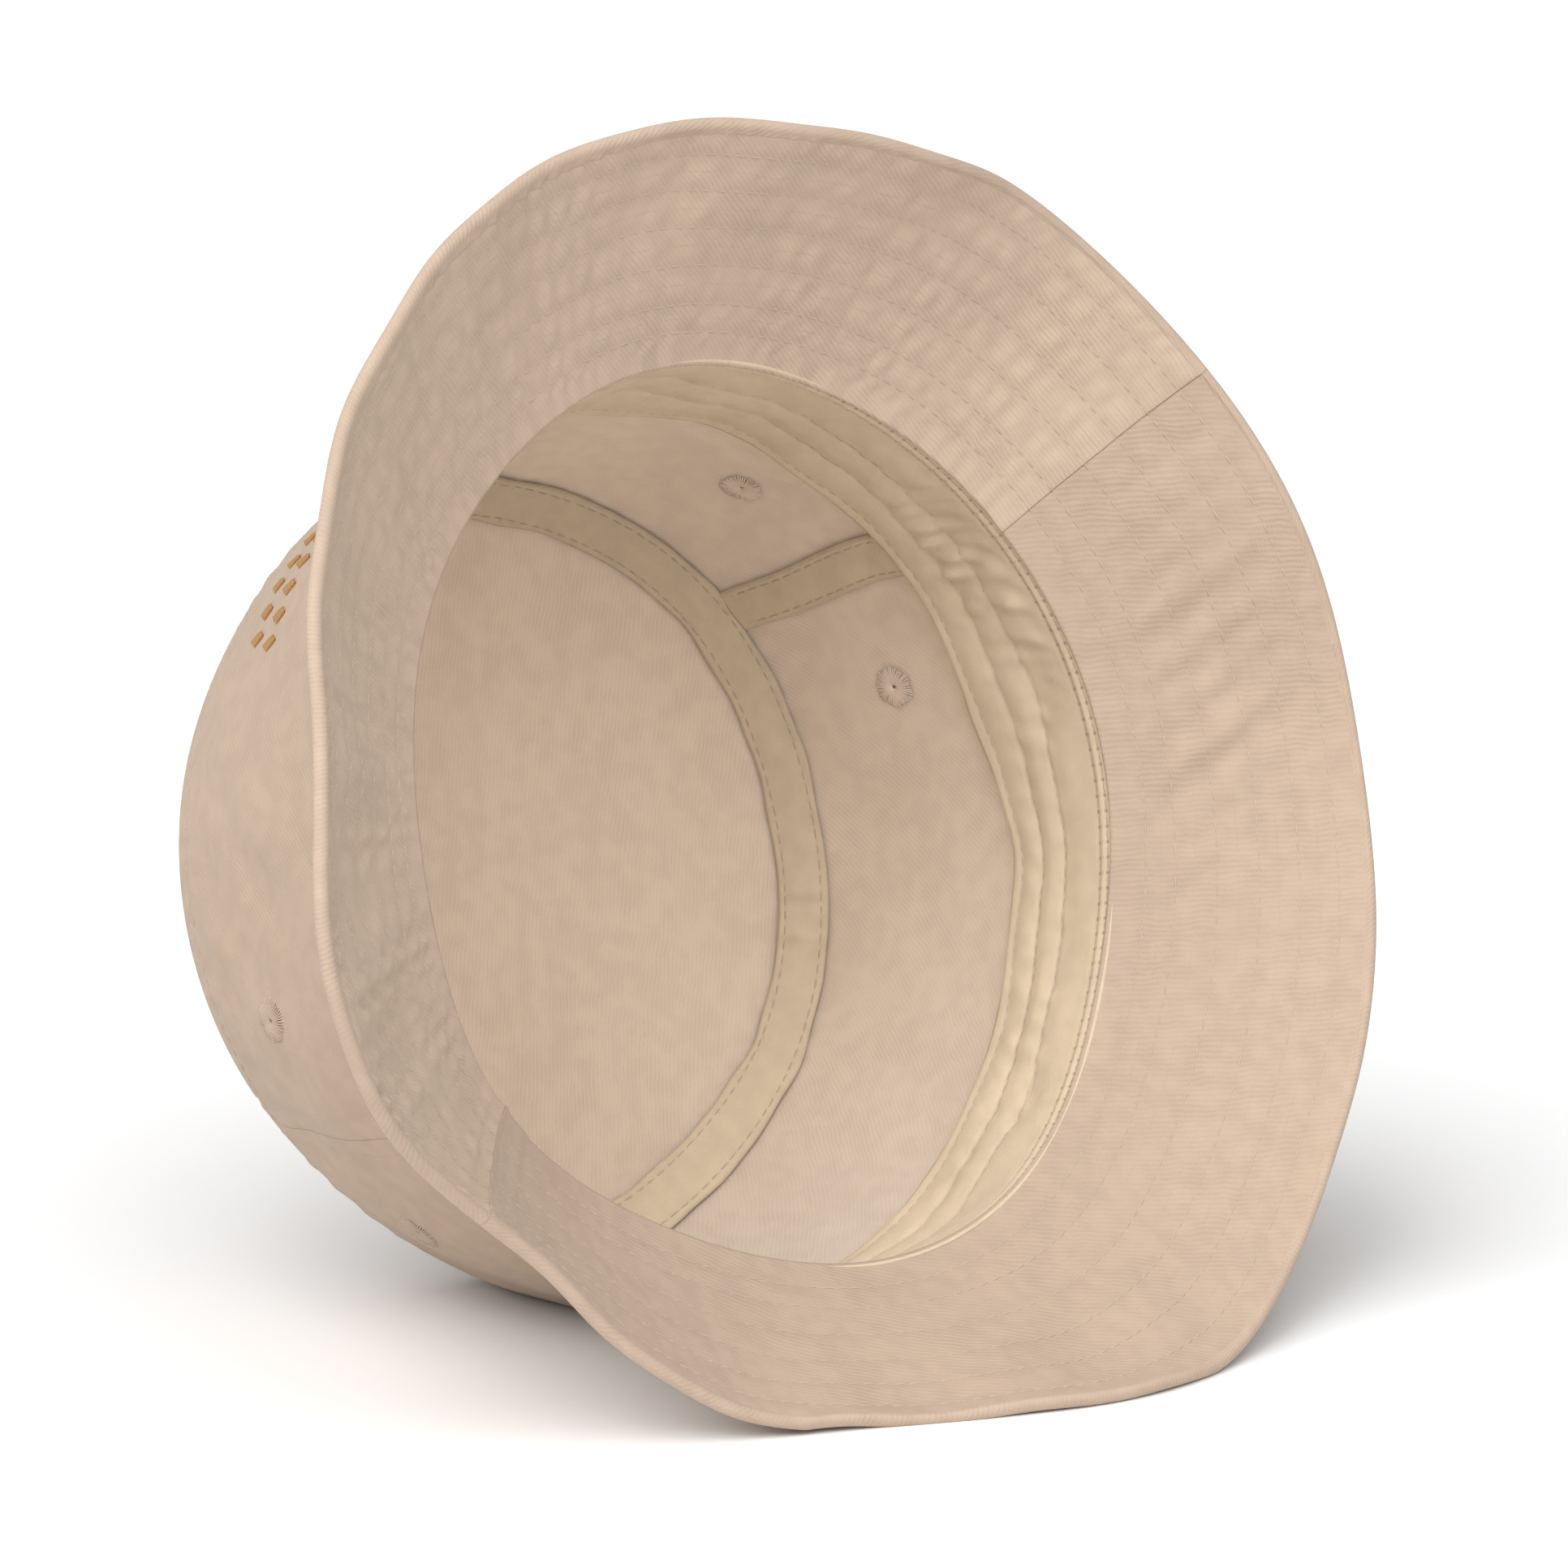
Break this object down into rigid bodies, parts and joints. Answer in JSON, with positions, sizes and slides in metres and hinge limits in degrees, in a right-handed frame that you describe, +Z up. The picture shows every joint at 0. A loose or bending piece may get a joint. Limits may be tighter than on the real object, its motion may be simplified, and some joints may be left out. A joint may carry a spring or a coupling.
{
  "type": "bucket hat",
  "caption": "Cotton-twill bucket hat with a stitched two-ply brim, oval top, taped inner seams, sweatband and thread eyelets, lying on its side with the head opening facing out.",
  "frame": {"origin": "on the surface the hat lies on, under the middle of its overall box", "axes": "+Z up; +Y horizontally from the head opening towards the crown top, so the opening faces -Y and about 16 degrees up; +X across the hat"},
  "size_m": [0.2766, 0.1946, 0.2474],
  "materials": {
    "twill": "beige cotton twill, matt",
    "underbrim": "beige cotton twill, matt, rows of stitching",
    "tape": "smooth plain-weave cotton tape, matt",
    "thread": "embroidery thread, slight sheen"
  },
  "bodies": {
    "root": {"brim_upper_front": "twill", "brim_upper_back": "twill", "brim_under_front": "underbrim", "brim_under_back": "underbrim", "crown_front": "twill", "crown_back": "twill", "crown_top": "twill", "sweatband": "tape", "top_seam_tape": "tape", "side_tape_right": "tape", "side_tape_left": "tape", "eyelet_front_right": "thread", "eyelet_front_left": "thread", "eyelet_back_right": "thread", "eyelet_back_left": "thread"}
  },
  "joints": []
}
